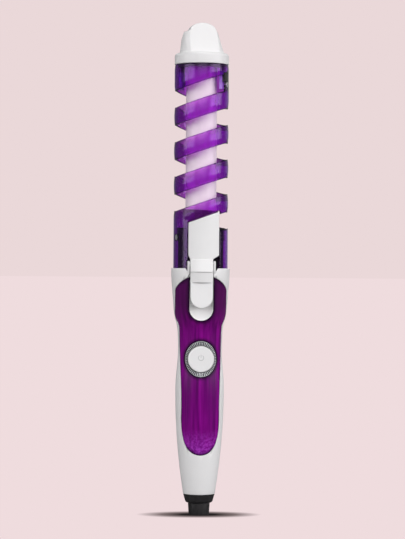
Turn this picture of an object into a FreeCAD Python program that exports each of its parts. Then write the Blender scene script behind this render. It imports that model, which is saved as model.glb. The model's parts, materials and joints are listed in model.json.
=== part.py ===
# Spiral hair curler: a heated barrel inside a helical guard, with a sprung clamp lever,
# a round handle in two shells, a push button and a swivelling cord outlet.
# Millimetres. +Z runs up the barrel, the lever and the button face -Y, and the origin is
# the centre of the cord outlet's flat lower end.
import FreeCAD
import Part
import math
import os

V = FreeCAD.Vector

# ---- Driving dimensions --------------------------------------------------------------

REACH = 30.0                  # cutting bodies run at least this far out
FIT = 0.05                    # clearance of a part in its seat
GAP = 0.1                     # clearance between the ends of parts

BARREL_R = 10.0
BARREL_WALL = 1.0
BARREL_Z0 = 148.6
BARREL_Z1 = 290.3

GUARD_R = 17.65
GUARD_WALL = 2.0
GUARD_Z0 = 152.0
GUARD_Z1 = 292.0
SPIRAL_PITCH = 22.4
SLOT_HEIGHT = 10.8
SLOT_COUNT = 5
FIRST_SLOT_Z = 185.6          # height of the lowest front slot on the centre line
TOP_SLOT_END_X = 14.2         # the highest slot stops here, and the top ring is whole beyond it

GUARD_SCREW_R = 1.1
GUARD_SCREW_LEN = 4.3
GUARD_SCREW_HEAD_R = 1.8
GUARD_SCREW_HEAD_H = 0.9
GUARD_SCREW_SEAT_R = 16.6     # distance of the heads' seats from the axis
BASE_SCREW_Z = 179.9
TOP_SCREW_Z = 279.0
BASE_SCREW_AZIMUTH = -68.0    # measured from the front, positive towards +X
TOP_SCREW_AZIMUTH = 68.0

HANDLE_WALL = 2.8
HANDLE_Z0 = 13.65
HANDLE_Z1 = 160.0
# Radius of the round handle along its height: slim tail, grip swell, waist, head.
HANDLE_PROFILE = [
    (13.65, 10.3), (27.0, 12.2), (38.7, 13.6), (58.2, 15.15), (74.4, 15.75), (87.4, 15.6),
    (97.0, 14.75), (106.9, 14.2), (116.0, 14.4), (123.2, 15.1), (129.0, 16.55),
    (136.0, 17.45), (145.3, 18.2), (154.0, 18.9), (160.0, 19.0),
]
HANDLE_FLOOR = 0.85           # thickness of the handle's lower end
HEAD_BORE_R = GUARD_R + 0.15
COLLAR_RIB_R = 12.5           # bore of the two ribs that hold the base collar
COLLAR_RIB_THICK = 1.8

COVER_THICK = 1.45            # depth of the purple cover below the handle's surface
COVER_PROUD = 0.15
COVER_SEAT = COVER_THICK + FIT

POCKET_HALF = 7.65            # thumb pocket: half width, and radius of its round end
POCKET_END_Z = 134.0
POCKET_FLOOR_Y = -12.6
POCKET_BACK_Y = -11.45
NOTCH_Z = 155.6               # the pocket widens from here to the head's rim
NOTCH_TOP_HALF = 10.6

HINGE_Y = -14.2
HINGE_Z = 163.0
PIN_R = 1.0
EAR_X1 = 9.1
EAR_R = 1.7
EAR_ROOT_Z = 146.0
EAR_CLEAR_Z = 156.3           # above this the ears stand free of the cover

NECK_HALF = 7.35
NECK_TOP_Z = 165.6
KNEE_Y = -21.0                # bright ridge where the neck turns back towards the handle
KNEE_Z = 157.6
BLOCK_Y = -20.4               # lower edge of the block below the knee
BLOCK_Z = 150.8
NECK_THICK = 2.2
BLOCK_THICK = 2.6
TAB_HALF = 7.25
TAB_TOP_Z = 152.0
TAB_TIP_Z = 134.3
# Faces of the thumb tab at its top and at its tip.
TAB_TOP_Y = (-18.6, -16.8)
TAB_TIP_Y = (-19.8, -17.8)
LEVER_SECTION_R = 12.0        # roundness of the neck's and the block's front
LEVER_BACK_Y = -12.6
LUG_R = 1.9
LUG_X0 = 5.6
LUG_FRONT_Y = -17.2

PADDLE_OUT_R = 17.75
PADDLE_IN_R = 15.9
PADDLE_LEFT = -8.6
PADDLE_RIGHT = 11.3
PADDLE_FOOT_Z = 163.2
PADDLE_SHOULDER_Z = (165.8, 168.3)
PADDLE_TOP_LEFT_Z = 189.3
PADDLE_TOP_RIGHT_Z = 196.6
PADDLE_GAP = 0.3
PADDLE_TOP_GAP = 0.6

SPRING_R = 1.5
SPRING_WIRE_R = 0.28
SPRING_HALF_X = 4.2
SPRING_TURNS = 12
SPRING_LEG_Y = -14.95

BUTTON_Z = 101.5
BUTTON_R = 8.4
BUTTON_FACE_Y = -15.9
BUTTON_SKIRT_Y = -9.0
BUTTON_WALL = 1.2
BUTTON_TOP = 1.6
BUTTON_POST_R = 2.2
BUTTON_TRAVEL = 1.2
BUTTON_TAB_Z = (8.0, 10.0)
BUTTON_TAB_Y = (-10.6, -9.2)
BUTTON_HOLE_R = BUTTON_R + 0.35
RETURN_SPRING_R = 3.2
RETURN_SPRING_WIRE_R = 0.25
RETURN_SPRING_LEN = 4.1
PLUNGER_R = 1.6
PLUNGER_Y0 = -11.4
PLUNGER_Y1 = -8.2
SWITCH_TOP_Y = -9.6
SWITCH_HALF = 4.0
RING_HALF_X = 9.95
RING_HALF_Z = 11.55
RING_PROUD = 0.5
LED_R = 1.0
LED_TIP_Y = -8.0
LED_RISE = 5.6

BOARD_Y0 = -6.0
BOARD_Y1 = -4.4
BOARD_HALF_X = 9.0
BOARD_Z0 = 70.0
BOARD_Z1 = 118.0
BOARD_SCREW_Z = (73.0, 115.0)
BOARD_SCREW_R = 1.0
BOARD_SCREW_LEN = 5.6

HANDLE_SCREW_Z = (34.0, 58.0, 124.0)
HANDLE_SCREW_SEAT_Y = 7.5
HANDLE_SCREW_R = 1.2
HANDLE_SCREW_HEAD_R = 2.4
HANDLE_SCREW_LEN = 13.5

COLLAR_IN_R = BARREL_R + FIT
SLEEVE_R = 11.3
SLEEVE_TOP_Z = 197.7
FLANGE_R = 15.6
COLLAR_CORE_R = 14.8
COLLAR_FRONT_Y = -SLEEVE_R - 0.02
BASE_FLANGE_Z0 = 178.0
BASE_FLANGE_Z1 = 186.2
COLLAR_FOOT_Z0 = 147.5
COLLAR_FOOT_Z1 = 150.0
COLLAR_LIP_R = 9.3
TIP_SPIGOT_Z0 = 283.0
TIP_SPIGOT_WALL = 1.5
TIP_LUG_Z0 = 276.2
TIP_LUG_IN_R = 13.2
TIP_LUG_HALF = 3.5
# The lugs' upper parts show through windows of the guard, almost flush with it.
TIP_PAD_Z0 = 281.0
TIP_PAD_Z1 = 286.5
TIP_PAD_R = 17.35
TIP_SCREW_R = 1.0
TIP_SCREW_LEN = 11.3
PAD_Z0 = 187.1
PAD_Z1 = 190.3
PAD_HALF = 5.0
PAD_IN_R = SLEEVE_R + 0.4

CAP_SKIRT_R = 17.6
CAP_Z0 = 292.2
CAP_SKIRT_Z1 = 297.6
CAP_SHOULDER = (16.9, 299.0)
CAP_LEDGE_Z = 313.6
CAP_TOP_Z = 319.5
CAP_CONE = [(14.7, 299.3), (13.3, 303.2), (11.7, 308.4), (10.1, CAP_LEDGE_Z)]
CAP_FLAT_Z0 = 299.6
CAP_FLAT_Y = 5.3              # half thickness between the flats, at the ledge
CAP_FLAT_LEAN = 0.41          # how far each flat closes in, per unit of height
CAP_GRIP_HALF_X = 8.7
CAP_HOLLOW = [(14.6, 296.6), (10.6, 299.0), (5.2, 306.0)]
CAP_BOSS_R = 3.2
CAP_TURN = 9.0                # the grip faces a little to the right of the lever

STEM_R0 = 6.6
STEM_R1 = 7.1
STEM_Z1 = 7.8
STEM_NECK_R = 5.2
STEM_HEAD_R = 7.4
STEM_HEAD_Z0 = 16.1
STEM_HEAD_Z1 = 18.5
CORD_BORE_R = 3.2
CORD_BORE_DEPTH = 14.0
BUSH_Z0 = 7.95
BUSH_IN_R = STEM_NECK_R + GAP
BUSH_NECK_R = 8.3
BUSH_HEAD_R = 9.4
# Lower end of the bush: from its flat face, round the edge, and up its cone.
BUSH_EDGE = [(7.1, BUSH_Z0), (8.6, 8.5), (9.1, 9.6)]
BUSH_TOP_R = 10.25

SLIP_PIN_R = 1.3
SLIP_TRACK_R = (3.5, 5.3)
SLIP_PIN_Z1 = 20.0
SLIP_TRACK_Z1 = 19.6
TAIL_R = 0.6
TAIL_X = 2.4
BRUSH_X = 4.4
BRUSH_R = 0.8
BRUSH_TOP_Z = 26.5
CARRIER_R = 9.2
CARRIER_Z0 = 22.5
CARRIER_Z1 = 24.5

HEATER_Z0 = 205.0
HEATER_Z1 = 275.0
HEATER_R = 8.9
# Layers of the heater outwards from its middle plane: tile, electrode, film, shoe.
TILE_Y = 1.05
ELECTRODE_Y = 1.4
FILM_Y = 1.8
TILE_HALF_X = 7.0
TILE_LEN = 15.0
TILE_STEP = 17.0
TILE_COUNT = 4
FILM_HALF_X = 7.8
FUSE_Y = 3.2
FUSE_R = 1.8
FUSE_Z = (184.0, 194.0)
FUSE_LEAD_R = 0.4
FUSE_LEAD = 4.0

WIRE_R = 0.8
HEATER_WIRE_X = 4.5
MAINS_WIRE_R = 0.9
MAINS_WIRE_X = 5.6


# ---- Shape helpers -------------------------------------------------------------------

def box(x0, x1, y0, y1, z0, z1):
    return Part.makeBox(x1 - x0, y1 - y0, z1 - z0, V(x0, y0, z0))


def cyl(r, z0, z1, x=0.0, y=0.0):
    return Part.makeCylinder(r, z1 - z0, V(x, y, z0))


def cyl_x(r, x0, x1, y, z):
    return Part.makeCylinder(r, x1 - x0, V(x0, y, z), V(1, 0, 0))


def cyl_y(r, y0, y1, x, z):
    return Part.makeCylinder(r, y1 - y0, V(x, y0, z), V(0, 1, 0))


def ring(r_out, r_in, z0, z1):
    return cyl(r_out, z0, z1).cut(cyl(r_in, z0 - 1, z1 + 1))


def outward(azimuth):
    """The unit vector away from the axis, measured from the front towards +X."""
    a = math.radians(azimuth)
    return V(math.sin(a), -math.cos(a), 0)


def radial_cyl(r, r0, r1, azimuth, z):
    """A cylinder that lies along a radius, from r0 to r1."""
    out = outward(azimuth)
    return Part.makeCylinder(r, r1 - r0, out * r0 + V(0, 0, z), out)


def prism_y(points, y0, y1):
    """A polygon drawn in X and Z, extruded from y0 to y1."""
    wire = Part.makePolygon([V(x, y0, z) for x, z in points + points[:1]])
    return Part.Face(wire).extrude(V(0, y1 - y0, 0))


def prism_x(points, x0, x1):
    """A polygon drawn in Y and Z, extruded from x0 to x1."""
    wire = Part.makePolygon([V(x0, y, z) for y, z in points + points[:1]])
    return Part.Face(wire).extrude(V(x1 - x0, 0, 0))


def u_prism(half, end_z, top_z, y0, y1):
    """A slot outline with a round lower end, extruded along Y."""
    return box(-half, half, y0, y1, end_z, top_z).fuse(cyl_y(half, y0, y1, 0, end_z))


def turned(edges):
    """The solid swept by an outline of edges turned about Z."""
    return Part.Face(Part.Wire(edges)).revolve(V(0, 0, 0), V(0, 0, 1), 360)


def lathe(points):
    """A closed outline of (radius, height) points turned about Z."""
    corners = [V(r, 0, z) for r, z in points + points[:1]]
    return turned([line(a, b) for a, b in zip(corners, corners[1:])])


def spline(points, start=None, end=None):
    curve = Part.BSplineCurve()
    if start is None:
        curve.interpolate(Points=points)
    else:
        curve.interpolate(Points=points, InitialTangent=start, FinalTangent=end)
    return curve.toShape()


def line(a, b):
    return Part.LineSegment(a, b).toShape()


def handle_body(inset):
    """The handle's round form, with its surface moved inwards by inset."""
    side = [V(r - inset, 0, z) for z, r in HANDLE_PROFILE]
    low = V(0, 0, HANDLE_Z0)
    high = V(0, 0, HANDLE_Z1)
    return turned([line(low, side[0]), spline(side), line(side[-1], high), line(high, low)])


def screw(head_r, head_h, shank_r, shank_len, seat, direction):
    """A cross-head screw whose head rests at seat and whose shank runs along direction."""
    shank = Part.makeCylinder(shank_r, shank_len, seat, direction)
    head = Part.makeCylinder(head_r, head_h, seat, direction * -1)
    arm = head_r * 0.6
    arm_half = head_r * 0.15
    depth = head_h * 0.5
    to_head = FreeCAD.Placement(seat, FreeCAD.Rotation(V(0, 0, 1), direction * -1))
    cross = [
        box(-arm, arm, -arm_half, arm_half, depth, 2 * depth),
        box(-arm_half, arm_half, -arm, arm, depth, 2 * depth),
    ]
    for bar in cross:
        bar.Placement = to_head
    return head.fuse(shank).cut(cross)


def wire_run(points, r):
    """A wire of straight runs with rounded corners."""
    pieces = []
    for a, b in zip(points, points[1:]):
        step = V(*b) - V(*a)
        pieces.append(Part.makeCylinder(r, step.Length, V(*a), step))
    for p in points[1:-1]:
        pieces.append(Part.makeSphere(r, V(*p)))
    return pieces[0].fuse(pieces[1:]).removeSplitter()


def coil(radius, wire_r, length, turns, start, direction):
    """A round-wire coil along direction, beginning at start."""
    helix = Part.makeHelix(length / turns, length, radius)
    section = Part.Wire(Part.makeCircle(wire_r, V(radius, 0, 0), V(0, 1, 0)))
    body = Part.Wire(helix).makePipeShell([section], True, True)
    turn_to = FreeCAD.Rotation(V(0, 0, 1), direction)
    body.Placement = FreeCAD.Placement(start, turn_to)
    return body


# ---- Tip -----------------------------------------------------------------------------

def cap_scoop(side):
    """What the flat on one side takes off the cap. The flats close in towards the top."""
    y0 = CAP_FLAT_Y + CAP_FLAT_LEAN * (CAP_LEDGE_Z - CAP_FLAT_Z0)
    z1 = CAP_TOP_Z + 1.5
    y1 = CAP_FLAT_Y - CAP_FLAT_LEAN * (z1 - CAP_LEDGE_Z)
    return prism_x([(side * y0, CAP_FLAT_Z0), (side * y1, z1), (side * REACH, z1),
                    (side * REACH, CAP_FLAT_Z0)], -REACH, REACH)


def tip_cap():
    """White cool tip: a skirt, a cone flattened front and back, and a rounded grip."""
    cone = [V(r, 0, z) for r, z in CAP_CONE]
    skirt_low = V(CAP_SKIRT_R, 0, CAP_Z0)
    skirt_top = V(CAP_SKIRT_R, 0, CAP_SKIRT_Z1)
    shoulder = V(CAP_SHOULDER[0], 0, CAP_SHOULDER[1])
    low = V(0, 0, CAP_Z0)
    high = V(0, 0, CAP_LEDGE_Z)
    body = turned([
        line(low, skirt_low),
        line(skirt_low, skirt_top),
        Part.Arc(skirt_top, shoulder, cone[0]).toShape(),
        spline(cone),
        line(cone[-1], high),
        line(high, low),
    ])

    front = V(0, -CAP_GRIP_HALF_X, CAP_LEDGE_Z)
    rim = Part.Ellipse(front, CAP_GRIP_HALF_X, CAP_TOP_Z - CAP_LEDGE_Z).toShape()
    rim.rotate(front, V(1, 0, 0), 90)
    grip = Part.Face(Part.Wire(rim)).extrude(V(0, 2 * CAP_GRIP_HALF_X, 0))
    above_ledge = box(-REACH, REACH, -REACH, REACH, CAP_LEDGE_Z - 1, CAP_TOP_Z + 1)
    body = body.fuse(grip.common(above_ledge)).cut([cap_scoop(-1), cap_scoop(1)])

    hollow_r = CAP_HOLLOW[0][0]
    hollow_top = CAP_HOLLOW[-1][1]
    hollow = lathe([(0, CAP_Z0 - 1), (hollow_r, CAP_Z0 - 1)] + CAP_HOLLOW + [(0, hollow_top)])
    boss = cyl(CAP_BOSS_R, CAP_Z0, hollow_top + 1).cut(
        cyl(TIP_SCREW_R, CAP_Z0 - 1, CAP_Z0 + 9.8))
    body = body.cut(hollow).fuse(boss)
    body.rotate(V(0, 0, 0), V(0, 0, 1), CAP_TURN)
    return body


def lug(half, r0, r1, z0, z1, azimuth):
    """A block from r0 out to the round surface at r1, turned to the azimuth."""
    block = box(-half, half, -r1, -r0, z0, z1)
    block.rotate(V(0, 0, 0), V(0, 0, 1), azimuth)
    return block.common(cyl(r1, z0, z1))


def tip_collar():
    """Black heat-resistant plug: a disc on the barrel's end, a spigot inside it and two lugs
    that take the upper guard screws."""
    disc_z0 = BARREL_Z1 + GAP
    spigot_r = BARREL_R - BARREL_WALL - GAP
    body = cyl(FLANGE_R, disc_z0, GUARD_Z1 - GAP)
    body = body.fuse(ring(spigot_r, spigot_r - TIP_SPIGOT_WALL, TIP_SPIGOT_Z0, disc_z0))
    for azimuth in (TOP_SCREW_AZIMUTH, TOP_SCREW_AZIMUTH + 180):
        body = body.fuse([
            lug(TIP_LUG_HALF, TIP_LUG_IN_R, FLANGE_R, TIP_LUG_Z0, disc_z0, azimuth),
            lug(TIP_LUG_HALF, TIP_LUG_IN_R, TIP_PAD_R, TIP_PAD_Z0, TIP_PAD_Z1, azimuth),
        ])
        body = body.cut(screw_pilot(azimuth, TOP_SCREW_Z))
    return body.cut(cyl(TIP_SCREW_R + 0.25, disc_z0 - 1, GUARD_Z1 + 1))


def tip_screw():
    seat = V(0, 0, BARREL_Z1 + GAP)
    return screw(2.2, 1.6, TIP_SCREW_R, TIP_SCREW_LEN, seat, V(0, 0, 1))


# ---- Spiral guard --------------------------------------------------------------------

def guard_slots():
    """Slots between the turns. A two-part mould leaves plane faces, front and back."""
    mid_r = GUARD_R - GUARD_WALL / 2
    slope = SPIRAL_PITCH / 4 / mid_r
    half = SLOT_HEIGHT / 2
    cuts = []
    for k in range(SLOT_COUNT):
        z = FIRST_SLOT_Z + k * SPIRAL_PITCH
        left = PADDLE_LEFT if k == 0 else -REACH
        right = TOP_SLOT_END_X if k == SLOT_COUNT - 1 else REACH
        cuts.append(prism_y([(left, z + slope * left - half), (right, z + slope * right - half),
                             (right, z + slope * right + half),
                             (left, z + slope * left + half)], -REACH, 0))
    for k in range(SLOT_COUNT - 1):
        z = FIRST_SLOT_Z + (k + 0.5) * SPIRAL_PITCH
        rise = slope * REACH
        cuts.append(prism_y([(-REACH, z + rise - half), (REACH, z - rise - half),
                             (REACH, z - rise + half), (-REACH, z + rise + half)], 0, REACH))
    return cuts


def paddle_window():
    """Opening at the front for the lever: its ears, then its paddle with a slanted top."""
    left = PADDLE_LEFT - PADDLE_GAP
    right = PADDLE_RIGHT + PADDLE_GAP
    slope = (PADDLE_TOP_RIGHT_Z - PADDLE_TOP_LEFT_Z) / (PADDLE_RIGHT - PADDLE_LEFT)
    top = PADDLE_TOP_LEFT_Z + PADDLE_TOP_GAP
    ear_left = -EAR_X1 - PADDLE_GAP
    ear_top = HINGE_Z + EAR_R + PADDLE_GAP
    outline = [(ear_left, GUARD_Z0 - 1), (right, GUARD_Z0 - 1),
               (right, top + slope * (right - left)), (left, top), (left, ear_top),
               (ear_left, ear_top)]
    return prism_y(outline, -REACH, 0)


def guard_screw_places():
    return [
        (BASE_SCREW_AZIMUTH, BASE_SCREW_Z),
        (BASE_SCREW_AZIMUTH + 180, BASE_SCREW_Z),
        (TOP_SCREW_AZIMUTH, TOP_SCREW_Z),
        (TOP_SCREW_AZIMUTH + 180, TOP_SCREW_Z),
    ]


def screw_pilot(azimuth, z):
    """Hole in a collar that a guard screw cuts its thread into."""
    tip_r = GUARD_SCREW_SEAT_R - GUARD_SCREW_LEN - GAP
    return radial_cyl(GUARD_SCREW_R, tip_r, FLANGE_R + 0.5, azimuth, z)


def spiral_guard():
    """Translucent purple guard: a right-handed ribbon between a top ring and a foot."""
    body = ring(GUARD_R, GUARD_R - GUARD_WALL, GUARD_Z0, GUARD_Z1)
    body = body.cut(guard_slots() + [paddle_window()])
    for azimuth in (TOP_SCREW_AZIMUTH, TOP_SCREW_AZIMUTH + 180):
        body = body.cut(lug(TIP_LUG_HALF + GAP, TIP_LUG_IN_R, GUARD_R + 1, TIP_PAD_Z0 - GAP,
                            TIP_PAD_Z1 + GAP, azimuth))
    for azimuth, z in guard_screw_places():
        body = body.cut([
            radial_cyl(GUARD_SCREW_R + FIT, SLEEVE_R, GUARD_R + 2, azimuth, z),
            radial_cyl(GUARD_SCREW_HEAD_R + 0.15, GUARD_SCREW_SEAT_R, GUARD_R + 2, azimuth, z),
        ])
    return body


def guard_screws():
    screws = []
    for azimuth, z in guard_screw_places():
        out = outward(azimuth)
        seat = out * GUARD_SCREW_SEAT_R + V(0, 0, z)
        screws.append(screw(GUARD_SCREW_HEAD_R, GUARD_SCREW_HEAD_H, GUARD_SCREW_R,
                            GUARD_SCREW_LEN, seat, out * -1))
    return Part.makeCompound(screws)


# ---- Barrel and heater ---------------------------------------------------------------

def barrel():
    return ring(BARREL_R, BARREL_R - BARREL_WALL, BARREL_Z0, BARREL_Z1)


def base_collar():
    """Black collar: holds the barrel's foot, the guard's lower screws and the shells."""
    seat_z = BARREL_Z0 - GAP
    body = ring(FLANGE_R, COLLAR_IN_R, BASE_FLANGE_Z0, BASE_FLANGE_Z1)
    body = body.fuse([
        ring(SLEEVE_R, COLLAR_IN_R, seat_z, SLEEVE_TOP_Z),
        ring(SLEEVE_R, COLLAR_LIP_R, COLLAR_FOOT_Z0, seat_z),
    ])
    lever_room = box(-EAR_X1 - 0.3, EAR_X1 + 0.3, -REACH, COLLAR_FRONT_Y, COLLAR_FOOT_Z0 - 1,
                     COLLAR_FOOT_Z1 + 1)
    foot = ring(FLANGE_R, SLEEVE_R - 0.2, COLLAR_FOOT_Z0, COLLAR_FOOT_Z1)
    core = ring(COLLAR_CORE_R, SLEEVE_R - 0.2, GUARD_Z0 + GAP, BASE_FLANGE_Z0)
    core_front = box(-REACH, REACH, -REACH, COLLAR_FRONT_Y, GUARD_Z0, BASE_FLANGE_Z0)
    body = body.fuse([foot.cut(lever_room), core.cut(core_front)])
    for azimuth, z in guard_screw_places()[:2]:
        body = body.cut(screw_pilot(azimuth, z))
    return body.removeSplitter()


def heater_shell(side):
    """Half-round aluminium shoe that carries heat from the elements to the barrel."""
    y0, y1 = sorted((side * FILM_Y, side * REACH))
    half = cyl(HEATER_R, HEATER_Z0, HEATER_Z1).common(
        box(-REACH, REACH, y0, y1, HEATER_Z0, HEATER_Z1))
    return half.cut(cyl(1.6, HEATER_Z0 - 1, HEATER_Z1 + 1, 0, side * 5.4))


def heater_elements():
    tiles = []
    for k in range(TILE_COUNT):
        z = HEATER_Z0 + 2 + k * TILE_STEP
        tiles.append(box(-TILE_HALF_X, TILE_HALF_X, -TILE_Y, TILE_Y, z, z + TILE_LEN))
    return Part.makeCompound(tiles)


def heater_electrodes():
    """A strip on each side of the tiles, with a tab that runs down to its wire."""
    tab_len = 9.0
    strips = []
    for side in (-1, 1):
        y0, y1 = sorted((side * TILE_Y, side * ELECTRODE_Y))
        x0, x1 = sorted((side * (HEATER_WIRE_X - 1), side * (HEATER_WIRE_X + 1)))
        strip = box(-TILE_HALF_X, TILE_HALF_X, y0, y1, HEATER_Z0, HEATER_Z1 - 1)
        tab = box(x0, x1, y0, y1, HEATER_Z0 - tab_len, HEATER_Z0)
        strips.append(strip.fuse(tab).removeSplitter())
    return Part.makeCompound(strips)


def heater_insulation():
    sheets = []
    for side in (-1, 1):
        y0, y1 = sorted((side * ELECTRODE_Y, side * FILM_Y))
        sheets.append(box(-FILM_HALF_X, FILM_HALF_X, y0, y1, HEATER_Z0 - 1, HEATER_Z1 + 1))
    return Part.makeCompound(sheets)


def thermal_fuse():
    z0, z1 = FUSE_Z
    body = cyl(FUSE_R, z0, z1, 0, FUSE_Y)
    return body.fuse(cyl(FUSE_LEAD_R, z0 - FUSE_LEAD, z1 + FUSE_LEAD, 0, FUSE_Y))


def heater_wires():
    """Two wires from the board's upper end to the tabs of the electrodes."""
    board_y = BOARD_Y1 + WIRE_R
    tab_z = HEATER_Z0 - 9.0
    wires = []
    for side in (-1, 1):
        x = side * HEATER_WIRE_X
        tab_y = side * (ELECTRODE_Y + WIRE_R)
        wires.append(wire_run([
            (x, board_y, BOARD_Z1 - 6), (x, board_y, BOARD_Z1 - 1), (x, 0, BOARD_Z1 + 5),
            (x, 0, tab_z - 6), (x, tab_y, tab_z), (x, tab_y, tab_z + 7),
        ], WIRE_R))
    return Part.makeCompound(wires)


# ---- Handle shells -------------------------------------------------------------------

def handle_half(side):
    """Half of the hollow handle, with its floor, the bush's seat and the collar's ribs."""
    hollow = handle_body(HANDLE_WALL)
    floor_z = HANDLE_Z0 + HANDLE_FLOOR
    wall = handle_body(0).cut(hollow.common(cyl(REACH, floor_z, GUARD_Z0)))
    low_rib_z = COLLAR_FOOT_Z0 - GAP
    high_rib_z = COLLAR_FOOT_Z1 + GAP
    ribs = ring(REACH, COLLAR_RIB_R, low_rib_z - COLLAR_RIB_THICK, low_rib_z).fuse(
        ring(REACH, COLLAR_RIB_R, high_rib_z, GUARD_Z0))
    wall = wall.fuse(ribs.common(hollow)).cut([
        cyl(HEAD_BORE_R, GUARD_Z0, HANDLE_Z1 + 1),
        cyl(BUSH_NECK_R + GAP, HANDLE_Z0 - 1, floor_z + 1),
        cyl(BUSH_HEAD_R + GAP, floor_z, STEM_HEAD_Z0),
        cyl(CARRIER_R + 0.15, CARRIER_Z0 - GAP, CARRIER_Z1 + GAP),
    ])
    y0, y1 = sorted((0, side * REACH))
    return wall.common(box(-REACH, REACH, y0, y1, 0, HANDLE_Z1 + 1))


def rear_shell():
    """Rear half, with the recessed seats of the handle screws."""
    body = handle_half(1)
    inside = handle_body(1.0)
    for z in HANDLE_SCREW_Z:
        body = body.fuse(cyl_y(3.4, 0, REACH, 0, z).common(inside))
    for z in HANDLE_SCREW_Z:
        body = body.cut([
            cyl_y(HANDLE_SCREW_R + 0.15, -1, REACH, 0, z),
            cyl_y(HANDLE_SCREW_HEAD_R + 0.2, HANDLE_SCREW_SEAT_Y, REACH, 0, z),
        ])
    return body


def cover_outline(grow):
    """Outline of the purple cover in X and Z, moved outwards by grow, as a face ahead of it."""
    top = [(0, 156.0 + grow), (7.6, 154.5 + grow), (12.4, 151.8 + grow),
           (14.7 + grow, 149.6), (16.2 + grow, 147.2), (16.6 + grow, 144.0)]
    waist = [(16.6 + grow, 131.7), (15.5 + grow, 126.6), (14.1 + grow, 123.6),
             (13.6 + grow, 120.0)]
    low = [(13.6 + grow, 120.0), (12.9 + grow, 95.6), (12.2 + grow, 69.2),
           (10.9 + grow, 50.0), (6.9 + grow, 42.1 - grow), (0, 39.3 - grow)]
    down = V(0, 0, -1)
    edges = []
    for side in (1, -1):
        top_side, waist_side, low_side = ([V(side * x, -REACH, z) for x, z in points]
                                          for points in (top, waist, low))
        drift = V(side * -0.02, 0, -1)
        edges.append(spline(top_side, V(side, 0, 0), down))
        edges.append(line(top_side[-1], waist_side[0]))
        edges.append(spline(waist_side, down, drift))
        edges.append(spline(low_side, drift, V(-side, 0, 0)))
    return Part.Face(Part.Wire(Part.sortEdges(edges)[0]))


def cover_region(grow):
    return cover_outline(grow).extrude(V(0, REACH - 0.2, 0))


def ring_region(grow):
    """Outline of the button's trim ring, extruded along Y."""
    rim = Part.Ellipse(V(0, 0, 0), RING_HALF_Z + grow, RING_HALF_X + grow).toShape()
    face = Part.Face(Part.Wire(rim))
    face.rotate(V(0, 0, 0), V(0, 0, 1), 90)
    face.rotate(V(0, 0, 0), V(1, 0, 0), 90)
    face.translate(V(0, -REACH, BUTTON_Z))
    return face.extrude(V(0, REACH - 1, 0))


def pocket_and_ears(body):
    """Thumb pocket, its notch at the head's rim, and the two ears of the lever's pin."""
    tub = u_prism(EAR_X1, POCKET_END_Z, GUARD_Z0, -REACH, POCKET_BACK_Y)
    body = body.fuse(tub.common(handle_body(COVER_SEAT)))
    rim_z = HANDLE_Z1 + GAP
    notch = [(-POCKET_HALF, NOTCH_Z), (POCKET_HALF, NOTCH_Z), (NOTCH_TOP_HALF, rim_z),
             (-NOTCH_TOP_HALF, rim_z)]
    body = body.cut([
        u_prism(POCKET_HALF, POCKET_END_Z, HANDLE_Z1 + 1, -REACH, POCKET_FLOOR_Y),
        prism_y(notch, -REACH, -HEAD_BORE_R * 0.75),
    ])
    for side in (1, -1):
        x0, x1 = sorted((side * POCKET_HALF, side * EAR_X1))
        y0, y1 = HINGE_Y - EAR_R, HINGE_Y + EAR_R
        root = box(x0, x1, y0, y1, EAR_ROOT_Z, EAR_CLEAR_Z).common(handle_body(COVER_SEAT))
        body = body.fuse([
            root,
            box(x0, x1, y0, y1, EAR_CLEAR_Z, HINGE_Z),
            cyl_x(EAR_R, x0, x1, HINGE_Y, HINGE_Z),
        ])
    return body.cut(cyl_x(PIN_R, -EAR_X1 - 1, EAR_X1 + 1, HINGE_Y, HINGE_Z))


def front_shell():
    """Front half: seat of the purple cover, thumb pocket, lever ears and bosses."""
    body = handle_half(-1)
    body = body.cut(handle_body(-1).cut(handle_body(COVER_SEAT)).common(cover_region(FIT)))
    body = pocket_and_ears(body)

    inside = handle_body(2.0)
    for z in HANDLE_SCREW_Z:
        below_pocket = z < POCKET_END_Z - POCKET_HALF - 3
        front_y = -REACH if below_pocket else POCKET_FLOOR_Y
        body = body.fuse(cyl_y(3.0, front_y, 0, 0, z).common(inside))
    for z in BOARD_SCREW_Z:
        body = body.fuse(cyl_y(2.4, -REACH, BOARD_Y0, 0, z).common(inside))
    pilot_end = HANDLE_SCREW_SEAT_Y - HANDLE_SCREW_LEN - 0.5
    body = body.cut([cyl_y(HANDLE_SCREW_R, pilot_end, 1, 0, z) for z in HANDLE_SCREW_Z])
    board_pilot_end = BOARD_Y1 - BOARD_SCREW_LEN - 0.5
    body = body.cut([cyl_y(BOARD_SCREW_R, board_pilot_end, 0, 0, z) for z in BOARD_SCREW_Z])
    return body.cut(cyl_y(BUTTON_HOLE_R, -REACH, -5, 0, BUTTON_Z))


def handle_cover():
    """Glossy translucent cover, forked round the thumb pocket."""
    shell = handle_body(-COVER_PROUD).cut(handle_body(COVER_THICK))
    return shell.common(cover_region(0)).cut([
        u_prism(POCKET_HALF + FIT, POCKET_END_Z, HANDLE_Z1 + 1, -REACH, 0),
        cyl(HEAD_BORE_R + FIT, GUARD_Z0 - GAP, HANDLE_Z1),
        ring_region(FIT),
    ])


def button_ring():
    """Silver trim ring round the button."""
    shell = handle_body(-RING_PROUD).cut(handle_body(COVER_THICK))
    return shell.common(ring_region(0)).cut(cyl_y(BUTTON_HOLE_R, -REACH, -5, 0, BUTTON_Z))


def handle_screws():
    return Part.makeCompound([
        screw(HANDLE_SCREW_HEAD_R, 1.7, HANDLE_SCREW_R, HANDLE_SCREW_LEN,
              V(0, HANDLE_SCREW_SEAT_Y, z), V(0, -1, 0))
        for z in HANDLE_SCREW_Z
    ])


# ---- Lever ---------------------------------------------------------------------------

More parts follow.
